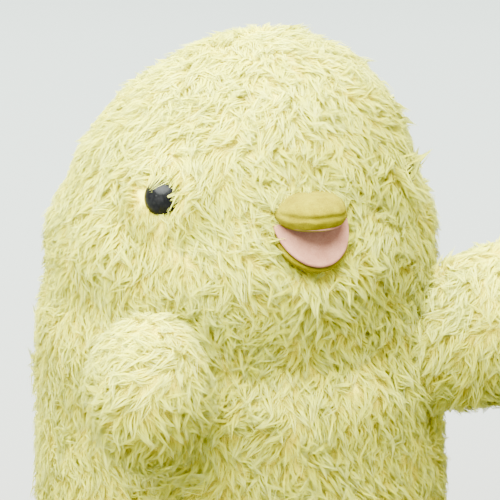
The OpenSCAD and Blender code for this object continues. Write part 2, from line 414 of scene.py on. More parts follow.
def fibre_group() -> bpy.types.NodeTree:
    """Matted fibre for felt, wadding and cloth backs: a colour mask and a height.

    Returns:
        The shader group, with inputs Scale and Fuzz and outputs Mask and Height.
    """
    tree, n = shader_group(
        "matted_fibre",
        [("Scale", "NodeSocketFloat", 1.0), ("Fuzz", "NodeSocketFloat", 1.0)],
        [("Mask", "NodeSocketFloat"), ("Height", "NodeSocketFloat")])
    start = n.add("NodeGroupInput")
    place = n.add("ShaderNodeTexCoord").outputs["Object"]
    spread = n.scaled(place, start.outputs["Scale"])
    fine = n.add("ShaderNodeTexNoise", {"Vector": spread, "Scale": 1900.0, "Detail": 5.0,
                 "Distortion": 2.5})
    broad = n.add("ShaderNodeTexNoise", {"Vector": spread, "Scale": 240.0, "Detail": 3.0})
    fibres = n.add("ShaderNodeTexVoronoi", {"Vector": spread, "Scale": 1500.0}, feature="DISTANCE_TO_EDGE")
    mask = n.math("ADD", n.math("MULTIPLY", fine.outputs[0], 0.6),
                  n.math("MULTIPLY", broad.outputs[0], 0.4))
    height = n.math("ADD", n.math("MULTIPLY", fine.outputs[0], start.outputs["Fuzz"]),
                    n.math("MULTIPLY", fibres.outputs[0], 0.25))
    n.add("NodeGroupOutput", {"Mask": mask, "Height": height})
    return tree


def weave_group() -> bpy.types.NodeTree:
    """Plain weave: a mask of thread tops and a height.

    Returns:
        The shader group, with inputs Threads and outputs Mask and Height.
    """
    tree, n = shader_group(
        "plain_weave", [("Threads", "NodeSocketFloat", 1400.0)],
        [("Mask", "NodeSocketFloat"), ("Height", "NodeSocketFloat")])
    start = n.add("NodeGroupInput")
    place = n.add("ShaderNodeTexCoord").outputs["Object"]
    waves = []
    for way in ("X", "Y", "Z"):
        wave = n.add("ShaderNodeTexWave", {"Vector": place, "Scale": start.outputs["Threads"],
                     "Distortion": 0.4}, bands_direction=way)
        wave.inputs["Detail"].default_value = 1.0
        waves.append(wave.outputs[1])
    height = n.math("MULTIPLY", n.math("ADD", n.math("ADD", waves[0], waves[1]), waves[2]), 0.333)
    n.add("NodeGroupOutput", {"Mask": height, "Height": height})
    return tree


FIBRE = fibre_group()
WEAVE = weave_group()


def blank_material(name: str) -> tuple[bpy.types.Material, Nodes, bpy.types.Node, bpy.types.Node]:
    """Starts a material.

    Args:
        name: the material's name.

    Returns:
        The material, its helper, its Principled BSDF and its output node.
    """
    material = bpy.data.materials.new(name)
    material.use_nodes = True
    material.node_tree.nodes.clear()
    n = Nodes(material.node_tree)
    shader = n.add("ShaderNodeBsdfPrincipled")
    out = n.add("ShaderNodeOutputMaterial", {"Surface": shader.outputs[0]})
    return material, n, shader, out


def geometry_tree(name: str, carrier: str, made: str,
                  sizes: dict) -> tuple[bpy.types.NodeTree, Nodes, object]:
    """Starts a Geometry Nodes tree with named inputs.

    Args:
        name: the tree's name.
        carrier: the name of the geometry that goes in.
        made: the name of the geometry that comes out.
        sizes: each input's name and its usual value; a whole number makes a seed.

    Returns:
        The tree, its helper and the group's input sockets.
    """
    tree = bpy.data.node_groups.new(name, "GeometryNodeTree")
    face = tree.interface
    face.new_socket(carrier, in_out="INPUT", socket_type="NodeSocketGeometry")
    for label, usual in sizes.items():
        kind = "NodeSocketInt" if isinstance(usual, int) else "NodeSocketFloat"
        face.new_socket(label, in_out="INPUT", socket_type=kind).default_value = usual
    face.new_socket(made, in_out="OUTPUT", socket_type="NodeSocketGeometry")
    n = Nodes(tree)
    return tree, n, n.add("NodeGroupInput").outputs


def run_tree(obj: bpy.types.Object, tree: bpy.types.NodeTree, sizes: dict) -> bpy.types.Object:
    """Runs a Geometry Nodes tree on an object and keeps the result as a plain mesh.

    Args:
        obj: the carrier.
        tree: the tree.
        sizes: values for the tree's named inputs.

    Returns:
        The same object.
    """
    identifier = {item.name: item.identifier for item in tree.interface.items_tree
                  if item.in_out == "INPUT"}
    mod = obj.modifiers.new(tree.name, "NODES")
    mod.node_group = tree
    for label, value in sizes.items():
        mod[identifier[label]] = value
    return finished(obj)


# ---------------------------------------------------------------- finishes


@dataclass(frozen=True)
class FeltFinish:
    """Matted wool felt, darker in the hollows of its fibre bump and lighter on its raised fuzz, which is
    painted shade and painted light over a random tone.
    """

    name: str
    deep: tuple
    face: tuple
    fuzz: tuple
    bump: float = 0.35

    def build(self) -> bpy.types.Material:
        """Builds the material."""
        material, n, shader, _ = blank_material(self.name)
        felt = n.add("ShaderNodeGroup", node_tree=FIBRE)
        # painted shade and painted light: the fine noise that raises the bump also picks the colour, so the
        # hollows are painted darker and the raised fuzz lighter; the broad noise adds random tone
        worn = n.ramp(felt.outputs["Mask"], [(0.34, self.deep), (0.50, self.face), (0.68, self.fuzz)])
        n.tree.links.new(worn, shader.inputs["Base Color"])
        bumped(n, shader, felt.outputs["Height"], self.bump, 0.0004)
        shader.inputs["Roughness"].default_value = 0.95
        shader.inputs["Specular IOR Level"].default_value = 0.0
        shader.inputs["Sheen Weight"].default_value = 0.01
        shader.inputs["Sheen Roughness"].default_value = 0.5
        return material


@dataclass(frozen=True)
class ClothFinish:
    """Plainly woven cloth, painted darker between the threads, where the weave's shade falls."""

    name: str
    face: tuple
    gap: tuple
    threads: float = 1400.0

    def build(self) -> bpy.types.Material:
        """Builds the material."""
        material, n, shader, _ = blank_material(self.name)
        weave = n.add("ShaderNodeGroup", node_tree=WEAVE)
        weave.inputs["Threads"].default_value = self.threads
        # painted shade: the weave's height also picks the colour, so the gaps between threads are painted
        # darker
        colour = n.ramp(weave.outputs["Mask"], [(0.30, self.gap), (0.62, self.face)])
        n.tree.links.new(colour, shader.inputs["Base Color"])
        bumped(n, shader, weave.outputs["Height"], 0.3, 0.0003)
        shader.inputs["Roughness"].default_value = 0.85
        shader.inputs["Sheen Weight"].default_value = 0.15
        return material


@dataclass(frozen=True)
class BeadFinish:
    """Moulded glossy plastic with faint handling scuffs."""

    name: str
    body: tuple
    scuff: tuple
    rough: float = 0.24
    shine: float = 0.06

    def build(self) -> bpy.types.Material:
        """Builds the material."""
        material, n, shader, _ = blank_material(self.name)
        place = n.add("ShaderNodeTexCoord").outputs["Object"]
        marks = n.add("ShaderNodeTexNoise", {"Vector": place, "Scale": 900.0, "Detail": 4.0})
        colour = n.ramp(marks.outputs[0], [(0.45, self.body), (0.80, self.scuff)])
        n.tree.links.new(colour, shader.inputs["Base Color"])
        rough = n.math("ADD", n.math("MULTIPLY", marks.outputs[0], 0.12), self.rough)
        n.tree.links.new(rough, shader.inputs["Roughness"])
        shader.inputs["Specular IOR Level"].default_value = self.shine
        return material


@dataclass(frozen=True)
class BoardFinish:
    """Grey-brown card with loose fibres."""

    name: str
    face: tuple
    fleck: tuple

    def build(self) -> bpy.types.Material:
        """Builds the material."""
        material, n, shader, _ = blank_material(self.name)
        pulp = n.add("ShaderNodeGroup", node_tree=FIBRE)
        pulp.inputs["Scale"].default_value = 0.6
        colour = n.ramp(pulp.outputs["Mask"], [(0.35, self.fleck), (0.6, self.face)])
        n.tree.links.new(colour, shader.inputs["Base Color"])
        bumped(n, shader, pulp.outputs["Height"], 0.15, 0.0002)
        shader.inputs["Roughness"].default_value = 0.9
        return material


@dataclass(frozen=True)
class PileFinish:
    """Soft plush pile: deep lemon at the root, cream at the tip; the deeper lemon towards the root is
    partly the fibres' own tint and partly painted shade of the pile's depths.
    """

    name: str = "plush_pile"
    root: tuple = (0.93, 0.80, 0.02, 1.0)
    low: tuple = (0.95, 0.90, 0.04, 1.0)
    high: tuple = (0.97, 0.97, 0.085, 1.0)
    tip: tuple = (0.98, 0.998, 0.23, 1.0)
    softness: float = 1.0
    glow: float = 0.74

    def build(self) -> bpy.types.Material:
        """Builds the material, which reads the pile's own attributes."""
        material, n, shader, out = blank_material(self.name)
        along = n.add("ShaderNodeAttribute", attribute_name="along").outputs["Fac"]
        shade = n.add("ShaderNodeAttribute", attribute_name="lock_shade").outputs["Fac"]
        lie = n.add("ShaderNodeAttribute", attribute_name="lie").outputs["Vector"]
        place = n.add("ShaderNodeTexCoord").outputs["Object"]
        patch = n.add("ShaderNodeTexNoise", {"Vector": place, "Scale": 55.0, "Detail": 2.0}).outputs[0]
        reach = n.math("ADD", along, n.math("MULTIPLY", n.math("SUBTRACT", shade, 0.5), 0.36))
        reach = n.math("ADD", reach, n.math("MULTIPLY", n.math("SUBTRACT", patch, 0.5), 0.35))
        # painted shade: the ramp paints the pile darker and a deeper lemon towards the roots, partly the
        # fibres' own tint and partly the shade of the pile's depths
        colour = n.ramp(reach, [(0.02, self.root), (0.30, self.low), (0.58, self.high), (0.92, self.tip)])
        n.tree.links.new(colour, shader.inputs["Base Color"])
        world = n.add("ShaderNodeVectorTransform", {0: lie}, vector_type="NORMAL",
                      convert_from="OBJECT", convert_to="WORLD").outputs[0]
        true = n.add("ShaderNodeNewGeometry").outputs["Normal"]
        soft = n.vector("NORMALIZE", n.vector(
            "ADD", n.scaled(world, self.softness), n.scaled(true, 1.0 - self.softness)))
        n.tree.links.new(soft, shader.inputs["Normal"])
        shader.inputs["Roughness"].default_value = 0.8
        shader.inputs["Specular IOR Level"].default_value = 0.06
        shader.inputs["Sheen Weight"].default_value = 0.1
        shader.inputs["Sheen Roughness"].default_value = 0.6
        through = n.add("ShaderNodeBsdfTranslucent", {"Color": colour, "Normal": soft})
        both = n.add("ShaderNodeMixShader", {0: self.glow, 1: shader.outputs[0], 2: through.outputs[0]})
        n.tree.links.new(both.outputs[0], out.inputs["Surface"])
        return material


class Wardrobe:
    """Every material of the puppet, built once."""

    def __init__(self) -> None:
        """Builds the materials."""
        self.pile = PileFinish().build()
        self.backing = FeltFinish("plush_backing", (0.50, 0.42, 0.03, 1), (0.66, 0.58, 0.045, 1),
                                  (0.80, 0.74, 0.07, 1)).build()
        self.yellow = FeltFinish("yellow_felt", (0.085, 0.062, 0.0, 1), (0.125, 0.105, 0.0, 1),
                                 (0.18, 0.158, 0.0, 1), bump=1.0).build()
        self.pink = FeltFinish("pink_felt", (0.15, 0.062, 0.038, 1), (0.20, 0.09, 0.058, 1),
                               (0.25, 0.125, 0.082, 1)).build()
        self.lining = ClothFinish("cotton_lining", rgb(236, 232, 208), rgb(206, 200, 168)).build()
        self.label = ClothFinish("label_satin", rgb(228, 228, 222), rgb(206, 206, 200),
                                 threads=2600.0).build()
        self.bead = BeadFinish("black_bead", (0.002, 0.002, 0.0022, 1),
                               (0.006, 0.006, 0.0065, 1)).build()
        self.washer = BeadFinish("white_washer", rgb(226, 226, 220), rgb(240, 240, 236),
                                 rough=0.4).build()
        self.board = BoardFinish("mouth_board", rgb(176, 152, 118), rgb(128, 106, 78)).build()
        self.thread = FeltFinish("sewing_thread", rgb(206, 200, 140), rgb(228, 224, 170),
                                 rgb(240, 238, 200)).build()

    @staticmethod
    def dress(obj: bpy.types.Object, material: bpy.types.Material, slot: str) -> bpy.types.Object:
        """Gives a piece its material."""
        obj.data.materials.clear()
        obj.data.materials.append(material)
        return obj


# ---------------------------------------------------------------- pile


@dataclass
class LockShape:
    """One lock of pile: a few tapering blades that close to a curled tip, one unit long."""

    blades: int = 20
    steps: int = 2
    base_spread: float = 0.21
    tip_spread: float = 0.05
    half_width: float = 0.021
    curl: float = 0.45
    seed: int = 1

    def build(self, name: str) -> bpy.types.Object:
        """Builds the lock, growing along +Z and curling towards +X.

        Args:
            name: the object's name.

        Returns:
            The lock's object, with "along" on its points and "lock_uv" on its corners.
        """
        rng = np.random.default_rng(self.seed)
        points, faces, along, flat = [], [], [], []
        for b in range(self.blades):
            turn = 2 * math.pi * (b + rng.uniform(-0.3, 0.3)) / self.blades
            side = np.array([math.cos(turn), math.sin(turn), 0.0]) * rng.uniform(0.25, 1.0)
            across = np.array([-math.sin(turn), math.cos(turn), 0.0])
            tall = rng.uniform(0.62, 1.0)
            kink = rng.uniform(-0.13, 0.13, 2)
            first = len(points)
            for s in range(self.steps + 1):
                t = (s / self.steps) ** 0.75
                spread = self.base_spread * (1 - t) ** 0.8 + self.tip_spread * t
                bulge = 0.07 * math.sin(math.pi * t)
                mid = side * (spread + bulge * 0.5) + np.array([
                    self.curl * tall * t ** 2.2 + kink[0] * math.sin(math.pi * t),
                    kink[1] * math.sin(math.pi * t), tall * t * (1 - 0.12 * t)])
                half = self.half_width * (0.75 + 0.55 * t) * (1 - t ** 4)
                if s < self.steps:
                    points += [mid - across * half, mid + across * half]
                    along += [t, t]
                else:
                    points.append(mid)
                    along.append(1.0)
            for s in range(self.steps):
                a = first + 2 * s
                faces.append([a, a + 1, a + 3, a + 2] if s < self.steps - 1 else [a, a + 1, a + 2])
            left, right = b / self.blades, (b + 0.94) / self.blades
            for s in range(self.steps):
                t0, t1 = s / self.steps, (s + 1) / self.steps
                if s < self.steps - 1:
                    flat += [(left, t0), (right, t0), (right, t1), (left, t1)]
                else:
                    flat += [(left, t0), (right, t0), ((left + right) / 2, t1)]
        mesh = bpy.data.meshes.new(name)
        mesh.from_pydata(points, [], faces)
        mesh.polygons.foreach_set("use_smooth", [True] * len(mesh.polygons))
        mesh.attributes.new("along", "FLOAT", "POINT").data.foreach_set("value", along)
        uv = mesh.uv_layers.new(name="lock_uv")
        uv.data.foreach_set("uv", np.array(flat, np.float32).ravel())
        obj = bpy.data.objects.new(name, mesh)
        bpy.context.scene.collection.objects.link(obj)
        return obj


class Pile:
    """Grows pile on a skin with Geometry Nodes, from the skin's own attributes."""

    LOCKS = 5

    def __init__(self, material: bpy.types.Material) -> None:
        """Builds the locks and the node tree.

        Args:
            material: the pile's material.
        """
        shapes = [LockShape(seed=10 + i, curl=0.35 + 0.14 * i, tip_spread=0.02 + 0.012 * i)
                  for i in range(self.LOCKS)]
        self.locks = [shape.build(f"lock_{i}") for i, shape in enumerate(shapes)]
        self.material = material
        self.tree = self._tree()

    def _tree(self) -> bpy.types.NodeTree:
        """Builds the pile's Geometry Nodes tree.

        Returns:
            The tree, with named inputs for the pile's sizes.
        """
        tree, n, start = geometry_tree("plush_pile", "Skin", "Pile", {
            "Spacing": 0.0012, "Length": 0.009, "Width": 0.009, "Lift": 1.1, "Stray": 0.3, "Seed": 1})

        def attribute(label: str, kind: str = "FLOAT") -> bpy.types.NodeSocket:
            """Reads a named attribute."""
            node = n.add("GeometryNodeInputNamedAttribute", {"Name": label}, data_type=kind)
            return node.outputs[0]

        def chance(least: object, most: object, plus: int, kind: str = "FLOAT") -> bpy.types.NodeSocket:
            """A random value of its own for each lock."""
            node = n.add("FunctionNodeRandomValue", data_type=kind)
            keys = {"FLOAT": (2, 3, 1), "FLOAT_VECTOR": (0, 1, 0), "INT": (4, 5, 2)}[kind]
            node.inputs[keys[0]].default_value = least
            node.inputs[keys[1]].default_value = most
            tree.links.new(n.math("ADD", start["Seed"], float(plus)), node.inputs["Seed"])
            return node.outputs[keys[2]]

        dots = n.add("GeometryNodeDistributePointsOnFaces", {
            "Mesh": start["Skin"], "Distance Min": start["Spacing"], "Density Max": 2.4e6,
            "Density Factor": attribute("thick"), "Seed": start["Seed"]}, distribute_method="POISSON")
        out_way = dots.outputs["Normal"]
        comb = attribute("comb", "FLOAT_VECTOR")
        stray = n.scaled(chance((-1, -1, -1), (1, 1, 1), 3, "FLOAT_VECTOR"), start["Stray"])
        grow = n.vector("NORMALIZE", n.vector(
            "ADD", n.vector("ADD", comb, n.scaled(out_way, start["Lift"])), stray))
        turn = n.add("FunctionNodeAxesToRotation", {"Primary Axis": grow,
                     "Secondary Axis": n.scaled(out_way, -1.0)}, primary_axis="Z", secondary_axis="X")
        spin = n.add("FunctionNodeAxisAngleToRotation", {"Axis": (0, 0, 1), "Angle": chance(-1.3, 1.3, 5)})
        facing = n.add("FunctionNodeRotateRotation", {"Rotation": turn.outputs[0],
                       "Rotate By": spin.outputs[0]}, rotation_space="LOCAL")
        kept = dots.outputs["Points"]
        count = n.add("GeometryNodeAttributeDomainSize", {0: kept},
                      component="POINTCLOUD").outputs["Point Count"]
        side = n.math("CEIL", n.math("SQRT", count))
        index = n.add("GeometryNodeInputIndex").outputs[0]
        cell = n.add("ShaderNodeCombineXYZ", {
            0: n.math("DIVIDE", n.math("FLOORED_MODULO", index, side), side),
            1: n.math("DIVIDE", n.math("FLOOR", n.math("DIVIDE", index, side)), side),
            2: n.math("DIVIDE", 0.94, side)}).outputs[0]
        for label, kind, value in (("cell", "FLOAT_VECTOR", cell), ("lie", "FLOAT_VECTOR", out_way),
                                   ("lock_shade", "FLOAT", chance(0.0, 1.0, 7))):
            kept = n.add("GeometryNodeStoreNamedAttribute",
                         {"Geometry": kept, "Name": label, "Value": value},
                         data_type=kind, domain="POINT").outputs[0]
        choices = n.add("GeometryNodeJoinGeometry")
        for lock in reversed(self.locks):
            info = n.add("GeometryNodeObjectInfo", {"Object": lock, "As Instance": True})
            tree.links.new(info.outputs["Geometry"], choices.inputs[0])
        pile = attribute("pile")
        tall = n.math("MULTIPLY", n.math("MULTIPLY", start["Length"], pile), chance(0.72, 1.22, 9))
        wide = n.math("MULTIPLY", n.math("MULTIPLY", start["Width"], n.math("POWER", pile, 0.5)),
                      chance(0.75, 1.3, 11))
        size = n.add("ShaderNodeCombineXYZ", {0: wide, 1: wide, 2: tall}).outputs[0]
        planted = n.add("GeometryNodeInstanceOnPoints", {
            "Points": kept, "Instance": choices.outputs[0], "Pick Instance": True,
            "Instance Index": chance(0, self.LOCKS - 1, 13, "INT"), "Rotation": facing.outputs[0],
            "Scale": size})
        real = n.add("GeometryNodeRealizeInstances", {0: planted.outputs[0]}).outputs[0]
        part = n.add("ShaderNodeSeparateXYZ", {0: attribute("cell", "FLOAT_VECTOR")}).outputs
        corner = attribute("cell", "FLOAT_VECTOR")
        sheet = n.vector("ADD", corner, n.scaled(attribute("lock_uv", "FLOAT_VECTOR"), part[2]))
        mapped = n.add("GeometryNodeStoreNamedAttribute",
                       {"Geometry": real, "Name": "OFBake", "Value": sheet},
                       data_type="FLOAT2", domain="CORNER").outputs[0]
        for label in ("cell", "lock_uv"):
            mapped = n.add("GeometryNodeRemoveAttribute", {"Geometry": mapped, "Name": label}).outputs[0]
        done = n.add("GeometryNodeSetMaterial", {"Geometry": mapped, "Material": self.material})
        n.add("NodeGroupOutput", {0: done.outputs[0]})
        return tree

    def grow(self, name: str, skin: bpy.types.Object, seed: int, **sizes: float) -> bpy.types.Object:
        """Grows pile on a skin that has "comb", "pile" and "thick" on its points.

        Args:
            name: the pile piece's name.
            skin: the carrier, which is removed afterwards.
            seed: fixed seed.
            sizes: values for the tree's named inputs.

        Returns:
            The pile as a plain mesh.
        """
        run_tree(skin, self.tree, {"Seed": seed, **sizes})
        skin.name = skin.data.name = name
        log.info("%s: %d faces", name, len(skin.data.polygons))
        return skin

    def clear(self) -> None:
        """Removes the single locks once everything is grown."""
        for lock in self.locks:
            bpy.data.objects.remove(lock)


@dataclass
class Skin:
    """A plush skin as points and faces, with what its pile needs on each point."""

    points: Array
    faces: list
    normals: Array
    comb: Array
    pile: Array
    thick: Array

    def cloth(self, name: str, keep: Array) -> bpy.types.Object:
        """The kept faces as bare cloth."""
        return new_mesh(name, *picked(self.points, self.faces, keep)[:2])

    def part(self, name: str, keep: Array) -> bpy.types.Object:
        """The kept faces as a pile carrier.

        Args:
            name: the object's name.
            keep: one truth value for each face.

        Returns:
            An object with "comb", "pile" and "thick" on its points.
        """
        points, faces, used = picked(self.points, self.faces, keep)
        obj = new_mesh(name, points, faces)
        comb = obj.data.attributes.new("comb", "FLOAT_VECTOR", "POINT")
        comb.data.foreach_set("vector", self.comb[used].astype(np.float32).ravel())
        for label, values in (("pile", self.pile), ("thick", self.thick)):
            data = obj.data.attributes.new(label, "FLOAT", "POINT").data
            data.foreach_set("value", values[used].astype(np.float32))
        return obj

    def centres(self) -> Array:
        """Middle of each face."""
        return np.array([self.points[f].mean(0) for f in self.faces])


def combed(points: Array, normals: Array, down: Array, seed: int, wander: float = 1.0) -> Array:
    """Which way the pile lies: downwards, wandering from tuft to tuft.

    Args:
        points: N by 3, in millimetres.
        normals: outward directions.
        down: the direction the pile mostly lies in.
        seed: fixed seed.
        wander: how far it turns away.

    Returns:
        N unit vectors that lie on the skin.
    """
    flow = unit(down - normals * (down * normals).sum(1)[:, None])
    across = np.cross(normals, flow)
    angle = wander * (1.1 * Ripple(26, seed)(points) + 1.0 * Ripple(9, seed + 1)(points)
                      + 0.7 * Ripple(4.5, seed + 2)(points))
    return unit(flow * np.cos(angle)[:, None] + across * np.sin(angle)[:, None])


# ---------------------------------------------------------------- body and head


@dataclass
class Outline:
    """The puppet's outline as a surface round the Z axis, egg-leaned at the crown."""

    swell: float = 4.0
    hem_in: float = 2.0
    collar_r: float = 60.0
    fuller: tuple = ((0, 1.5), (75, 2.0), (106, 2.6), (129, 5.8), (148, 5.6), (158, 4.8),
                     (168, 2.6), (178, -0.8), (188, -1.4), (201, -1.7), (211, -1.6), (222, -1.8))
    crown: float = 2.2
    lean: tuple[float, float] = (6.3, -10.5)
    shift: tuple[float, float] = (1.2, -0.6)
    chin: tuple[float, float, float] = (132.0, 11.0, 6.0)
    lump: float = 1.1
    columns: int = 200
    step: float = 2.6

    def body_at(self, z: Array) -> Array:
        """Outer radius of the body at height z."""
        u = np.clip(z / A.neck_z, 0, 1)
        return self.collar_r + self.swell * np.sin(math.pi * u) - self.hem_in * (1 - u) ** 2

    def rows(self) -> tuple[Array, Array]:
        """Radius and height of each row of points, from the hem to the crown."""
        join = A.head_z - 8.0
        z = np.arange(0, join, self.step)
        start = math.asin((join - A.head_z) / A.head_r)
        turn = np.linspace(start, math.pi / 2, int(A.head_r * (math.pi / 2 - start) / self.step))
        head_r, head_z = A.head_r * np.cos(turn), A.head_z + A.head_r * np.sin(turn)
        mix = smooth(z, A.neck_z + 4, join)
        ball = np.sqrt(np.maximum(A.head_r ** 2 - (z - A.head_z) ** 2, 0))
        r = self.body_at(z) * (1 - mix) + ball * mix
        r, z = np.concatenate([r, head_r]), np.concatenate([z, head_z])
        at, more = np.array(self.fuller).T
        fade = smooth(r, 0.0, 20.0)
        return np.maximum(r + np.interp(z, at, more) * fade - A.plush, 0), z

    @staticmethod
    def settle(points: Array) -> Array:
        """Brings the skin to the eyes' seats and the mouth's edge, whatever the outline does elsewhere."""
        centre = np.array([0, 0, A.head_z])
        moved = points.copy()
        for side in (Side.RIGHT, Side.LEFT):
            gap = np.linalg.norm(points - A.eye(side), axis=1)
            pull = (1 - smooth(gap, 7.5, 17.0))[:, None]
            seat = centre + unit(points - centre) * (A.head_r - 0.4)
            moved = moved * (1 - pull) + seat * pull
        gap = np.linalg.norm((points - A.hinge) * [1, 0.5, 1], axis=1)
        pull = (1 - smooth(gap, 12.0, 22.0))[:, None]
        seat = centre + unit(points - centre) * (A.head_r - 1.2)
        return moved * (1 - pull) + seat * pull

    def place(self, points: Array) -> Array:
        """Leans the crown forward and adds soft lumps."""
        rise = np.clip((points[:, 2] - A.head_z + 5) / (A.head_r + 5), 0, 1) ** 2
        out = unit(points - np.array([0, 0, 1]) * np.minimum(points[:, 2:3], A.head_z))
        lumps = Ripple(34, 5)(points) * 0.7 + Ripple(15, 6)(points) * 0.45
        moved = points + out * (lumps * self.lump)[:, None]
        at, spread, deep = self.chin
        ahead = smooth(-unit(points[:, :2])[:, 1], 0.62, 0.97)
        moved -= out * (deep * ahead * np.exp(-((points[:, 2] - at) / spread) ** 2))[:, None]
        moved[:, 0] += self.lean[0] * rise + self.shift[0]
        moved[:, 1] += self.lean[1] * rise + self.shift[1]
        moved[:, 2] = np.where(points[:, 2] < 0.5, points[:, 2], moved[:, 2] + self.crown * rise)
        return moved


@dataclass
class Figure:
    """The plush body and head: their skins and their pile."""

    wardrobe: Wardrobe
    pile: Pile
    outline: Outline
    backing: float = 0.9
    tuft_length: float = 7.2
    tuft_width: float = 8.0
    head_spacing: float = 1.66
    body_spacing: float = 1.85

    def __post_init__(self) -> None:
        """Works out the skin once."""
        self.skin = self._skin()

    def _skin(self) -> Skin:
        """Works out the whole skin's points, faces and how its pile lies."""
        r, z = self.outline.rows()
        cols = self.outline.columns
        turn = np.arange(cols) * 2 * math.pi / cols
        ring = np.stack([np.sin(turn), -np.cos(turn)], 1)
        points = np.concatenate([
            np.concatenate([ring * max(rr, 0.15), np.full((cols, 1), zz)], 1) for rr, zz in zip(r, z)])
        points = self.outline.settle(self.outline.place(points))
        faces = grid_faces(len(r), cols, True)
        grid = points.reshape(len(r), cols, 3)
        along = np.gradient(grid, axis=0).reshape(-1, 3)
        round_ = (np.roll(grid, -1, 1) - np.roll(grid, 1, 1)).reshape(-1, 3)
        normals = unit(np.cross(round_, along))
        normals[-cols:] = [0, 0, 1]
        down = np.tile([0.0, 0.0, -1.0], (len(points), 1))
        down[:, :2] += unit(points[:, :2]) * 0.15
        comb = combed(points, normals, down, 21)
        pile = 1 + 0.16 * Ripple(12, 31)(points)
        skin = Skin(points, faces, normals, comb, pile, np.ones(len(points)))
        for side in (Side.RIGHT, Side.LEFT):
            self._part_at_eye(skin, side)
        self._part_at_mouth(skin)
        self._turn_at_hem(skin)
        skin.thick *= np.where(points[:, 1] > 25, 0.85, 1.0)
        return skin

    @staticmethod
    def _part_at_eye(skin: Skin, side: Side) -> None:
        """Shortens and parts the pile round an eye, and lets the left one's front tufts fall over it."""
        eye, fringe = A.eye(side), side is Side.LEFT
        gap = np.linalg.norm(skin.points - eye, axis=1)
        before = smooth((eye[0] - skin.points[:, 0]) * side.value / np.maximum(gap, 0.1), -0.2, 0.5)
        skin.pile *= 1 - 0.42 * (1 - smooth(gap, 6.0, 15.0)) * (1 - before)
        skin.pile *= 1 + (0.85 if fringe else 0.05) * (1 - smooth(gap, 8.0, 20.0)) * before
        bare = smooth(gap, 5.3, 6.2)
        skin.thick *= np.maximum(bare, before) if fringe else bare
        away = unit(skin.points - eye) * (1 - (2.0 if fringe else 1.3) * before)[:, None]
        near = (1 - smooth(gap, 6.0, 12.0))[:, None]
        skin.comb = unit(skin.comb * (1 - near * 0.9) + away * near)

    @staticmethod
    def _part_at_mouth(skin: Skin) -> None:
        """Shortens the pile round the beak and combs it away."""
        flat = skin.points - A.hinge - np.array([0, 0, -3.0])
        gap = np.hypot(flat[:, 0] / 1.0, flat[:, 2] / 0.95)
        gap[skin.points[:, 1] > 0] = 99.0
        skin.pile *= 0.62 + 0.38 * smooth(gap, 10.0, 19.0)
        skin.thick *= smooth(gap, 10.0, 11.5)
        away = unit(flat * [1, 0.3, 1])
        near = (0.75 * (1 - smooth(gap, 11.0, 17.0)))[:, None]
        skin.comb = unit(skin.comb * (1 - near) + away * near)

    @staticmethod
    def _turn_at_hem(skin: Skin) -> None:
        """Shortens the pile at the hem and combs it round, clear of the table."""
        height = smooth(skin.points[:, 2], 2.0, 12.0)
        skin.pile *= 0.5 + 0.5 * height
        edge = (1 - height)[:, None]
        round_about = np.cross(skin.normals, [0.0, 0.0, 1.0])
        skin.comb = unit(skin.comb * (1 - edge) + (round_about + [0.0, 0.0, 0.35]) * edge)

    def _backing(self, name: str, keep: Array) -> bpy.types.Object:
        """A stretch of the woven backing that the pile grows from."""
        obj = self.skin.cloth(name, keep)
        thickened(obj, self.backing, -1)
        return self.wardrobe.dress(obj, self.wardrobe.backing, "plush")

    def build(self) -> None:
        """Builds the skins and grows their pile."""
        centre = self.skin.centres()
        split = A.neck_z + A.nod_zone[0]
        upper = centre[:, 2] > split
        mouth = self.mouth_gap(centre)
        body = self._backing("body_plush", ~upper)
        head = self._backing("head_plush", upper & ~mouth)
        self._bend(body)
        self._bend(head)
        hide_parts("belly_panel", "back_panel_left", "back_panel_right", "torso_wadding")
        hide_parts("head_gusset", "head_side_left", "head_side_right", "head_wadding")
        azimuth = np.degrees(np.arctan2(centre[:, 0], -centre[:, 1])) % 360
        for part, count, zone, spacing in (("head", 4, upper, self.head_spacing),
                                           ("body", 6, ~upper, self.body_spacing)):
            for i in range(count):
                width = 360 / count
                inside = zone & (azimuth >= i * width) & (azimuth < (i + 1) * width)
                seed = 100 * (part == "body") + i
                fur = self.pile.grow(f"{part}_pile_{i + 1}", self.skin.part("carrier", inside), seed,
                                     Length=self.tuft_length * MM, Width=self.tuft_width * MM,
                                     Spacing=spacing * MM)
                self._bend(fur)

    @staticmethod
    def mouth_gap(centre: Array) -> Array:
        """Which faces lie where the mouth opens."""
        x, z = centre[:, 0] / 10.5, (centre[:, 2] - A.hinge_z + 3.5) / 11.0
        return (x * x + z * z < 1) & (centre[:, 1] < 0)

    def _bend(self, obj: bpy.types.Object) -> None:
        """Bakes a skin's or its pile's placement into its mesh."""
        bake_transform(obj)


# ---------------------------------------------------------------- wings


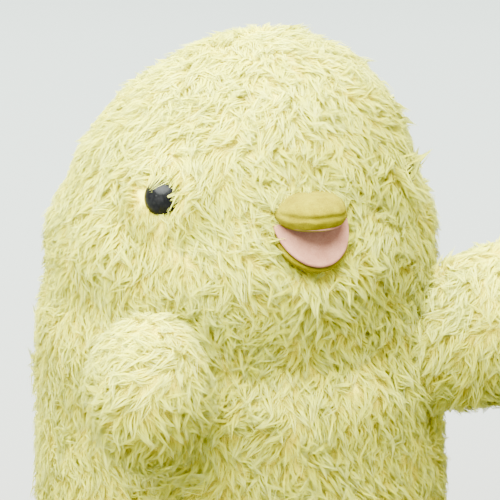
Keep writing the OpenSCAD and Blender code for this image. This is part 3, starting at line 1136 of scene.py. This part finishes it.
@dataclass
class Wing:
    """One stubby wing: a padded mitt on a ball-like shoulder."""

    side: Side
    wardrobe: Wardrobe
    pile: Pile
    length: float = 24.0
    height: float = 19.0
    thickness: float = 14.0
    middle: float = 32.0
    point: float = 25.0
    rise: float = 11.0
    fuller: float = 5.5
    spacing: float = 1.7
    pad_r: float = 18.5
    rows: int = 34
    columns: int = 56

    @property
    def name(self) -> str:
        """left or right."""
        return self.side.word

    def matrix(self) -> Matrix:
        """From the wing's own axes, +X along it, to the row frame, in millimetres."""
        pivot = Vector(joint(f"{self.name}_wing_swing")["pos_m"]) / MM
        turn = math.radians(self.side.value * self.point - 90)
        return (Matrix.Translation(pivot) @ Matrix.Rotation(turn, 4, "Z")
                @ Matrix.Rotation(-math.radians(self.rise), 4, "Y"))

    def _skin(self) -> Skin:
        """The mitt's skin: an egg drawn out towards the shoulder."""
        t = np.linspace(0.03, 1, self.rows)
        x = -4 + (self.middle + self.length - A.plush + 4) * (1 - (1 - t) ** 1.35)
        far = (x - self.middle) / (self.length - A.plush)
        near = 0.80 + 0.20 * smooth(x, 0, self.middle)
        swell = np.where(far > 0, np.sqrt(np.maximum(1 - far ** 2, 0.0004)), near)
        turn = np.arange(self.columns) * 2 * math.pi / self.columns
        rings = []
        for xx, s in zip(x, swell):
            y = np.cos(turn) * (self.thickness - A.plush + self.fuller) * s
            z = np.sin(turn) * (self.height - A.plush + self.fuller) * s
            rings.append(np.stack([np.full_like(y, xx), y, z], 1))
        points = np.concatenate(rings)
        lumps = Ripple(14, 50 + self.side.value)(points) * 0.7
        points += unit(points * [0, 1, 1]) * lumps[:, None]
        faces = grid_faces(self.rows, self.columns, True)
        grid = points.reshape(self.rows, self.columns, 3)
        along = np.gradient(grid, axis=0).reshape(-1, 3)
        round_ = (np.roll(grid, -1, 1) - np.roll(grid, 1, 1)).reshape(-1, 3)
        normals = unit(np.cross(round_, along))
        normals[-self.columns:] = [1, 0, 0]
        if (normals * points)[:, 1:].sum() < 0:
            normals = -normals
            faces = [f[::-1] for f in faces]
        turned = np.array(self.matrix().to_3x3())
        world = points @ turned.T + np.array(self.matrix().translation)
        outward = normals @ turned.T
        down = np.tile([0.0, 0.0, -1.0], (len(points), 1)) + (np.array([1.0, 0, 0]) @ turned.T) * 0.5
        comb = combed(world, outward, down, 70 + self.side.value)
        pile = 1 + 0.14 * Ripple(10, 90)(world)
        return Skin(world, faces, outward, comb, pile, np.ones(len(points)))

    def build(self) -> None:
        """Builds the wing's skin, its pile and the shoulder pad."""
        skin = self._skin()
        every = np.ones(len(skin.faces), bool)
        backing = skin.cloth(f"{self.name}_wing_plush", every)
        self.wardrobe.dress(backing, self.wardrobe.backing, "plush")
        body = f"{self.name}_wing"
        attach(backing, body)
        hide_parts(*(f"wing_{self.name}_{layer}" for layer in ("top", "under", "wadding")))
        outer = (skin.centres() - np.array(self.matrix().translation)) @ np.array(self.matrix().to_3x3())
        fur = self.pile.grow(f"{self.name}_wing_pile", skin.part("carrier", outer[:, 0] > 5),
                             300 + self.side.value, Length=Figure.tuft_length * MM,
                             Width=Figure.tuft_width * MM, Spacing=self.spacing * MM)
        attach(fur, body)
        self._shoulder()

    def _shoulder(self) -> None:
        """The pad inside the wing's root, which swings with the shoulder."""
        cols, rows = 40, 10
        turned = np.array(self.matrix().to_3x3())
        pivot = np.array(self.matrix().translation)
        points = []
        for i in range(rows):
            a = math.radians(8 + 62 * i / (rows - 1))
            for j in range(cols):
                b = 2 * math.pi * j / cols
                points.append([math.cos(a), math.sin(a) * math.cos(b) * 0.62,
                               math.sin(a) * math.sin(b) * 0.82])
        world = np.array(points) * self.pad_r @ turned.T + pivot
        pad = new_mesh(f"{self.name}_shoulder_pad", world, grid_faces(rows, cols, True, flip=True))
        thickened(pad, 1.0, -1)
        self.wardrobe.dress(pad, self.wardrobe.backing, "plush")
        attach(pad, f"{self.name}_shoulder")
        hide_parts(f"wing_{self.name}_root")


# ---------------------------------------------------------------- beak


@dataclass
class Beak:
    """The felt beak: a puffy upper half and a lower half that hangs open."""

    wardrobe: Wardrobe
    half_w: float = 11.8
    reach: float = 14.2
    bottom: float = -1.1
    rise: float = 9.8
    crease_at: float = 4.3
    crease_depth: float = 0.6
    open_angle: float = 50.0
    lower_half_w: float = 11.7
    lower_reach: float = 15.3
    lower_depth: float = 8.4
    felt: float = 1.5
    pink: float = 1.3
    lining_over: float = 0.9

    def upper(self) -> None:
        """Puffy upper beak with a soft fold round its front."""
        rows, cols = 40, 64
        points = []
        for i in range(rows):
            v = -1 + 2 * i / (rows - 1)
            lat = math.radians(89.0 * v)
            ring = max(math.cos(lat), 0.012) ** (0.62 if v > 0 else 0.34)
            h = math.sin(lat)
            z = (h * 0.5 + 0.5)
            z = self.bottom + (self.rise - self.bottom) * (z ** 0.9)
            for j in range(cols):
                a = 2 * math.pi * j / cols
                x = self.half_w * ring * math.copysign(abs(math.cos(a)) ** 0.92, math.cos(a))
                x *= 1 - 0.10 * min(max((z - 3.0) / 5.0, 0.0), 1.0)
                front = -math.sin(a)
                y = self.reach * ring * front if front < 0 else 3.5 * ring * front
                points.append([x, y, z])
        p = np.array(points)
        out = unit(p * [1, 1, 0.0])
        fold = np.exp(-((p[:, 2] - self.crease_at - 0.35 * Ripple(7, 3)(p)) / 0.75) ** 2)
        fold *= smooth(-p[:, 1], 1.0, 6.0)
        p -= out * (fold * self.crease_depth * (1 + 0.4 * Ripple(5, 4)(p)))[:, None]
        p += out * (0.28 * Ripple(4.0, 8)(p) + 0.14 * Ripple(1.9, 9)(p))[:, None]
        p[:, 2] += 0.22 * Ripple(5, 12)(p) * (p[:, 2] > 2)
        obj = new_mesh("upper_beak", p + A.hinge, grid_faces(rows, cols, True, flip=True))
        close_outwards(obj)
        subdivided(obj, 1)
        self.wardrobe.dress(obj, self.wardrobe.yellow, "yellow_felt")
        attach(obj, "upper_beak")
        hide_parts("upper_beak_felt")

    def _half_oval(self, half_w: float, reach: float, rings: int, cols: int) -> Array:
        """Points of a half oval, from its middle to its edge, in the mouth plane."""
        rows = []
        for i in range(rings):
            s = i / (rings - 1)
            for j in range(cols):
                a = math.pi * j / (cols - 1)
                rows.append([half_w * s * math.cos(a), -reach * s * math.sin(a), 0.0])
        return np.array(rows)

    def _jaw_place(self, p: Array) -> Array:
        """Turns points drawn with the mouth shut into the open beak's place."""
        a = math.radians(self.open_angle)
        y, z = p[:, 1].copy(), p[:, 2].copy()
        q = p.copy()
        q[:, 1] = y * math.cos(a) - z * math.sin(a)
        q[:, 2] = y * math.sin(a) + z * math.cos(a)
        return q + A.hinge

    def lower(self) -> None:
        """Pink mouth felt on a yellow felt shell whose edge shows as a thin rim."""
        rings, cols = 14, 56
        flat = self._half_oval(self.lower_half_w + self.lining_over, self.lower_reach + self.lining_over,
                               rings, cols)
        edge = np.hypot(flat[:, 0] / self.lower_half_w, flat[:, 1] / self.lower_reach)
        flat[:, 2] = 0.45 - 0.3 * (1 - edge) + 0.10 * Ripple(6, 15)(flat)
        pink = new_mesh("lower_mouth_lining", self._jaw_place(flat),
                        grid_faces(rings, cols, False, flip=True))
        thickened(pink, self.pink, -1)
        close_outwards(pink)
        subdivided(pink, 1)
        self.wardrobe.dress(pink, self.wardrobe.pink, "pink_felt")
        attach(pink, "lower_beak")
        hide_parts("lower_mouth_felt")
        rows = 16
        shell = []
        for i in range(rows):
            lat = math.pi / 2 * i / (rows - 1)
            for j in range(cols):
                a = math.pi * j / (cols - 1)
                s = math.cos(lat)
                shell.append([self.lower_half_w * s * math.cos(a), -self.lower_reach * s * math.sin(a),
                              -0.1 - (self.lower_depth - 0.1) * math.sin(lat)])
        p = np.array(shell)
        p += unit(p) * (0.18 * Ripple(5, 16)(p))[:, None]
        yellow = new_mesh("lower_beak", self._jaw_place(p), grid_faces(rows, cols, False))
        thickened(yellow, self.felt, 1)
        close_outwards(yellow)
        subdivided(yellow, 1)
        self.wardrobe.dress(yellow, self.wardrobe.yellow, "yellow_felt")
        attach(yellow, "lower_beak")
        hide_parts("lower_beak_felt")

    def build(self) -> None:
        """Builds both halves and dresses the parts inside."""
        self.upper()
        self.lower()
        for node, material, slot in (
                ("upper_mouth_felt", self.wardrobe.pink, "pink_felt"),
                ("upper_mouth_board", self.wardrobe.board, "board"),
                ("lower_mouth_board", self.wardrobe.board, "board"),
                ("upper_finger_pocket", self.wardrobe.lining, "lining"),
                ("lower_finger_pocket", self.wardrobe.lining, "lining")):
            self.wardrobe.dress(frame["nodes"][node], material, slot)


# ---------------------------------------------------------------- cloth inside


class Stitching:
    """Sews rows of thread stitches with Geometry Nodes, from points that say which way they run."""

    def __init__(self, material: bpy.types.Material) -> None:
        """Builds one stitch and the node tree.

        Args:
            material: the thread's material.
        """
        self.stitch = self._stitch()
        self.material = material
        self.tree = self._tree()

    @staticmethod
    def _stitch() -> bpy.types.Object:
        """One arched stitch, a metre long along X and about as thick as Width says."""
        rows, cols = 7, 6
        points = []
        for i in range(rows):
            t = -1 + 2 * i / (rows - 1)
            thick = 0.5 * max(1 - t ** 4, 0.05) ** 0.5
            for j in range(cols):
                a = 2 * math.pi * j / cols
                points.append([t / 2, thick * math.cos(a), thick * math.sin(a) + 0.5 * (1 - t * t) - 0.25])
        obj = new_mesh("stitch", np.array(points) / MM, grid_faces(rows, cols, True, flip=True))
        close_outwards(obj)
        return obj

    def _tree(self) -> bpy.types.NodeTree:
        """Builds the stitching's Geometry Nodes tree."""
        tree, n, start = geometry_tree("thread_stitches", "Seam", "Stitches", {
            "Length": 0.0026, "Width": 0.0006, "Seed": 1})
        way = n.add("GeometryNodeInputNamedAttribute", {"Name": "way"}, data_type="FLOAT_VECTOR").outputs[0]
        out = n.add("GeometryNodeInputNamedAttribute", {"Name": "out"}, data_type="FLOAT_VECTOR").outputs[0]
        turn = n.add("FunctionNodeAxesToRotation", {"Primary Axis": way, "Secondary Axis": out},
                     primary_axis="X", secondary_axis="Z").outputs[0]
        some = n.add("FunctionNodeRandomValue", data_type="FLOAT")
        some.inputs[2].default_value, some.inputs[3].default_value = 0.85, 1.12
        tree.links.new(start["Seed"], some.inputs["Seed"])
        size = n.add("ShaderNodeCombineXYZ", {0: n.math("MULTIPLY", start["Length"], some.outputs[1]),
                     1: start["Width"], 2: start["Width"]}).outputs[0]
        info = n.add("GeometryNodeObjectInfo", {"Object": self.stitch, "As Instance": True})
        sewn = n.add("GeometryNodeInstanceOnPoints", {"Points": start["Seam"],
                     "Instance": info.outputs["Geometry"], "Rotation": turn, "Scale": size}).outputs[0]
        real = n.add("GeometryNodeRealizeInstances", {0: sewn}).outputs[0]
        done = n.add("GeometryNodeSetMaterial", {"Geometry": real, "Material": self.material})
        n.add("NodeGroupOutput", {0: done.outputs[0]})
        return tree

    def sew(self, name: str, points: Array, way: Array, out: Array, body: str) -> bpy.types.Object:
        """Sews a seam.

        Args:
            name: the piece's name.
            points: middle of each stitch, in millimetres.
            way: which way each stitch runs.
            out: away from the cloth at each stitch.
            body: the body it rides.

        Returns:
            The stitches as a plain mesh.
        """
        seam = new_mesh(name, points, [])
        for label, values in (("way", way), ("out", out)):
            data = seam.data.attributes.new(label, "FLOAT_VECTOR", "POINT").data
            data.foreach_set("vector", values.astype(np.float32).ravel())
        run_tree(seam, self.tree, {"Seed": 4})
        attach(seam, body)
        return seam

    def clear(self) -> None:
        """Removes the single stitch once everything is sewn."""
        bpy.data.objects.remove(self.stitch)


@dataclass
class Inside:
    """The cloth a hand meets: the rolled hem, the linings, and the blank label with its stitches."""

    wardrobe: Wardrobe
    stitching: Stitching
    outline: Outline
    hem_top: float = 10.3
    collar_r: float = 60.0
    depth: float = 10.6
    cloth: float = 1.0
    satin: float = 0.7
    cup_r: float = 61.2
    cup_z: tuple[float, float] = (26.3, 44.2)
    hand_r: float = 36.6
    hand_z: float = 40.0
    neck_r: float = 47.6
    wrinkle: float = 0.2
    columns: int = 160

    def _revolved(self, name: str, profile: list, seed: int) -> tuple[Array, list]:
        """Points and faces of a wrinkled surface round the Z axis.

        Args:
            name: what it is, for the log.
            profile: (radius, height) stops, from low to high.
            seed: fixed seed.

        Returns:
            Points in millimetres and quads that face outwards.
        """
        turn = np.arange(self.columns) * 2 * math.pi / self.columns
        ring = np.stack([np.sin(turn), -np.cos(turn)], 1)
        points = np.concatenate([np.concatenate([ring * r, np.full((self.columns, 1), z)], 1)
                                 for r, z in profile])
        fold = 0.6 * Ripple(9, seed)(points * [1, 1, 0.35]) + 0.4 * Ripple(4, seed + 1)(points)
        points = points + unit(points * [1, 1, 0]) * (np.clip(fold, -1, 1) * self.wrinkle)[:, None]
        log.info("%s: %d points", name, len(points))
        return points, grid_faces(len(profile), self.columns, True)

    def _cloth(self, name: str, points: Array, faces: list, body: str, node: str) -> bpy.types.Object:
        """A lining of even thickness that stands for a CAD node."""
        obj = new_mesh(name, points, faces)
        thickened(obj, self.cloth, 0)
        self.wardrobe.dress(obj, self.wardrobe.lining, "lining")
        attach(obj, body)
        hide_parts(node)
        return obj

    def linings(self) -> None:
        """The body's, the neck's and the head's lining."""
        z = np.linspace(self.hem_top, A.neck_z, 46)
        body = [(float(self.outline.body_at(h)) - self.depth, float(h)) for h in z]
        collar = self.collar_r - self.depth
        body += [(math.sqrt(collar ** 2 - h * h), A.neck_z + h) for h in np.linspace(2.5, 27.7, 11)]
        self._cloth("torso_cloth", *self._revolved("torso_cloth", body, 201), "torso", "torso_lining")
        neck = [(self.neck_r * math.cos(a), A.neck_z + self.neck_r * math.sin(a))
                for a in np.radians(np.linspace(-14.6, 39.6, 20))]
        self._cloth("neck_cloth", *self._revolved("neck_cloth", neck, 211), "neck", "neck_lining")
        head = [(math.sqrt(self.cup_r ** 2 - h * h), A.neck_z + h) for h in np.linspace(*self.cup_z, 9)]
        rim = self.cup_z[1] + 0.6
        head += [(39.6, A.neck_z + rim), (37.6, A.neck_z + rim + 0.3)]
        head += [(self.hand_r * math.cos(a), A.neck_z + self.hand_z + self.hand_r * math.sin(a))
                 for a in np.radians(np.linspace(10.5, 89.7, 24))]
        points, faces = self._revolved("head_cloth", head, 221)
        mid = np.array([points[f].mean(0) for f in faces])
        hole = ((np.abs(mid[:, 0]) < 13.2) & (mid[:, 1] < 0) & (mid[:, 2] > A.hinge_z - 13.5)
                & (mid[:, 2] < A.hinge_z + 15.0))
        self._cloth("head_cloth", *picked(points, faces, ~hole)[:2], "head", "head_lining")

    def hem(self) -> None:
        """The rolled hem and the stitches that hold it."""
        rows, cols = 30, 240
        turn = np.arange(cols) * 2 * math.pi / cols
        ring = np.stack([np.sin(turn), -np.cos(turn)], 1)
        mid_r, half_r, mid_z, half_z = 49.6, 5.3, 5.2, 4.6
        points = []
        for i in range(rows + 1):
            a = 2 * math.pi * i / rows
            r = mid_r + half_r * math.copysign(abs(math.cos(a)) ** 0.6, math.cos(a))
            z = mid_z + half_z * math.copysign(abs(math.sin(a)) ** 0.6, math.sin(a))
            points.append(np.concatenate([ring * r, np.full((cols, 1), z)], 1))
        p = np.concatenate(points)
        gather = 0.5 * Ripple(6, 231)(p) + 0.5 * Ripple(2.6, 232)(p * [1, 1, 0.3])
        middle = unit(p * [1, 1, 0]) * mid_r + np.array([0, 0, mid_z])
        p += unit(p - middle) * (0.35 * np.clip(gather, -1, 1) - 0.1)[:, None]
        p[:, 2] = np.maximum(p[:, 2], 0.45)
        roll = new_mesh("rolled_hem", p, grid_faces(rows + 1, cols, True, flip=True))
        close_outwards(roll)
        self.wardrobe.dress(roll, self.wardrobe.lining, "lining")
        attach(roll, "torso")
        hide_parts("hem_band")
        turn = np.arange(110) * 2 * math.pi / 110
        at = np.stack([52.4 * np.sin(turn), -52.4 * np.cos(turn), np.full(110, 0.42)], 1)
        way = np.stack([np.cos(turn), np.sin(turn), np.zeros(110)], 1)
        self.stitching.sew("hem_stitches", at, way, np.tile([0.0, 0.0, -1.0], (110, 1)), "torso")

    def label(self) -> None:
        """The blank label, a folded strip that curls a little."""
        lowest, highest = low("care_label"), high("care_label")
        rows, cols = 14, 17
        u, v = [grid.ravel() for grid in np.meshgrid(np.linspace(0, 1, rows), np.linspace(0, 1, cols),
                                                     indexing="ij")]
        bend = 1.5 * u ** 2 + 0.35 * np.sin(3.1 * v + 2.0 * u)
        points = np.stack([bend, lowest[1] + (highest[1] - lowest[1] - 0.2) * u - 0.3 * v * u,
                           lowest[2] + 0.3 + (highest[2] - lowest[2] - 0.6) * v], 1)
        strip = new_mesh("blank_label", points, grid_faces(rows, cols, False))
        thickened(strip, self.satin, 0)
        self.wardrobe.dress(strip, self.wardrobe.label, "label")
        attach(strip, "torso")
        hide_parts("care_label")
        count = 6
        z = np.linspace(lowest[2] + 2.0, highest[2] - 2.0, count)
        share = (z - lowest[2]) / (highest[2] - lowest[2])
        u = 0.36
        x = 1.5 * u ** 2 + 0.35 * np.sin(3.1 * share + 2.0 * u)
        y = np.full(count, lowest[1] + (highest[1] - lowest[1]) * u)
        both = [np.stack([x + 0.4 * side, y, z], 1) for side in (-1, 1)]
        out = np.repeat([[-1.0, 0.0, 0.0], [1.0, 0.0, 0.0]], count, axis=0)
        self.stitching.sew("label_stitches", np.concatenate(both),
                           np.tile([0.0, 0.0, 1.0], (2 * count, 1)), out, "torso")

    def build(self) -> None:
        """Builds the cloth inside."""
        self.linings()
        self.hem()
        self.label()


# ---------------------------------------------------------------- small parts


class Trim:
    """Eyes and the washers behind them."""

    def __init__(self, wardrobe: Wardrobe) -> None:
        """Keeps the materials."""
        self.wardrobe = wardrobe

    def build(self) -> None:
        """Dresses the beads and washers, which keep their CAD shape."""
        w = self.wardrobe
        for side in Side:
            w.dress(frame["nodes"][f"eye_{side.word}"], w.bead, "eye")
            w.dress(frame["nodes"][f"eye_washer_{side.word}"], w.washer, "washer")


# ---------------------------------------------------------------- studio


@dataclass
class Studio:
    """Pale floor with painted shade round the puppet, soft lights and the camera."""

    azimuth: float = -24.0
    elevation: float = 15.0
    distance: float = 2200.0
    frame_width: float = 158.0
    aim_right: float = 4.3
    aim_down: float = 10.0

    def camera(self) -> None:
        """Places the camera."""
        a, e = math.radians(self.azimuth), math.radians(self.elevation)
        back = Vector((math.sin(a) * math.cos(e), -math.cos(a) * math.cos(e), math.sin(e)))
        right = Vector((math.cos(a), math.sin(a), 0))
        aim = Vector((0, 0, A.head_z)) + right * self.aim_right - back.cross(right) * self.aim_down
        data = bpy.data.cameras.new("camera")
        data.sensor_width = 36.0
        data.lens = 36.0 * self.distance / self.frame_width
        data.clip_start = 0.01
        obj = bpy.data.objects.new("camera", data)
        obj.location = (aim + back * self.distance) * MM
        obj.rotation_euler = back.to_track_quat("Z", "Y").to_euler()
        bpy.context.scene.collection.objects.link(obj)
        bpy.context.scene.camera = obj

    @staticmethod
    def _area(name: str, place: tuple, size: float, power: float, colour: tuple) -> None:
        """Adds a soft light aimed at the puppet."""
        data = bpy.data.lights.new(name, "AREA")
        data.shape = "DISK"
        data.size = size
        data.energy = power
        data.color = colour
        obj = bpy.data.objects.new(name, data)
        obj.location = place
        way = Vector(place) - Vector((0, 0, 0.14))
        obj.rotation_euler = way.to_track_quat("Z", "Y").to_euler()
        bpy.context.scene.collection.objects.link(obj)

    def build(self) -> None:
        """Builds the floor, the lights and the camera."""
        world = bpy.data.worlds.new("studio")
        bpy.context.scene.world = world
        world.use_nodes = True
        sky = world.node_tree.nodes["Background"]
        sky.inputs[0].default_value = (1.0, 0.975, 0.91, 1)
        sky.inputs[1].default_value = 1.02
        material, n, shader, _ = blank_material("studio_floor")
        place = n.add("ShaderNodeTexCoord").outputs["Object"]
        away = n.add("ShaderNodeVectorMath", {0: place}, operation="LENGTH").outputs["Value"]
        # painted shade: the floor's colour is darker near its middle, round the puppet, and lighter further
        # out
        n.tree.links.new(n.ramp(away, [(0.10, (0.12, 0.115, 0.105, 1)), (0.95, (0.20, 0.225, 0.215, 1))]),
                         shader.inputs["Base Color"])
        shader.inputs["Roughness"].default_value = 0.85
        floor = new_mesh("floor", np.array([[-4000, -4000, 0], [4000, -4000, 0], [4000, 4000, 0],
                         [-4000, 4000, 0]]) * 1.0, [[0, 1, 2, 3]], rounded=False)
        floor.location.z = -0.0002
        floor.data.materials.append(material)
        floor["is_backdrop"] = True
        self._area("key", (-0.34, -0.22, 1.35), 1.8, 560.0, (0.94, 1.0, 0.94))
        self._area("fill", (1.0, -0.6, 0.7), 1.2, 20.0, (0.97, 0.98, 1.0))
        self._area("side", (-1.1, -0.7, 0.25), 0.9, 22.0, (1.0, 1.0, 0.96))
        self._area("back", (0.3, 1.0, 0.9), 0.9, 20.0, (1.0, 1.0, 1.0))
        self.camera()


def main() -> None:
    """Builds the whole puppet and its studio, one sub-assembly after another."""
    logging.basicConfig(level=logging.INFO, format="%(name)s %(message)s")
    Studio().build()
    wardrobe = Wardrobe()
    pile = Pile(wardrobe.pile)
    outline = Outline()
    Figure(wardrobe, pile, outline).build()
    Wing(Side.LEFT, wardrobe, pile, point=70.0, rise=19.0, fuller=7.0).build()
    Wing(Side.RIGHT, wardrobe, pile, point=25.0, rise=11.0, fuller=5.5).build()
    Beak(wardrobe).build()
    stitching = Stitching(wardrobe.thread)
    Inside(wardrobe, stitching, outline).build()
    Trim(wardrobe).build()
    pile.clear()
    stitching.clear()
    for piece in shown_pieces():
        log.info("piece %s", piece.name)


if __name__ == "__main__":
    main()
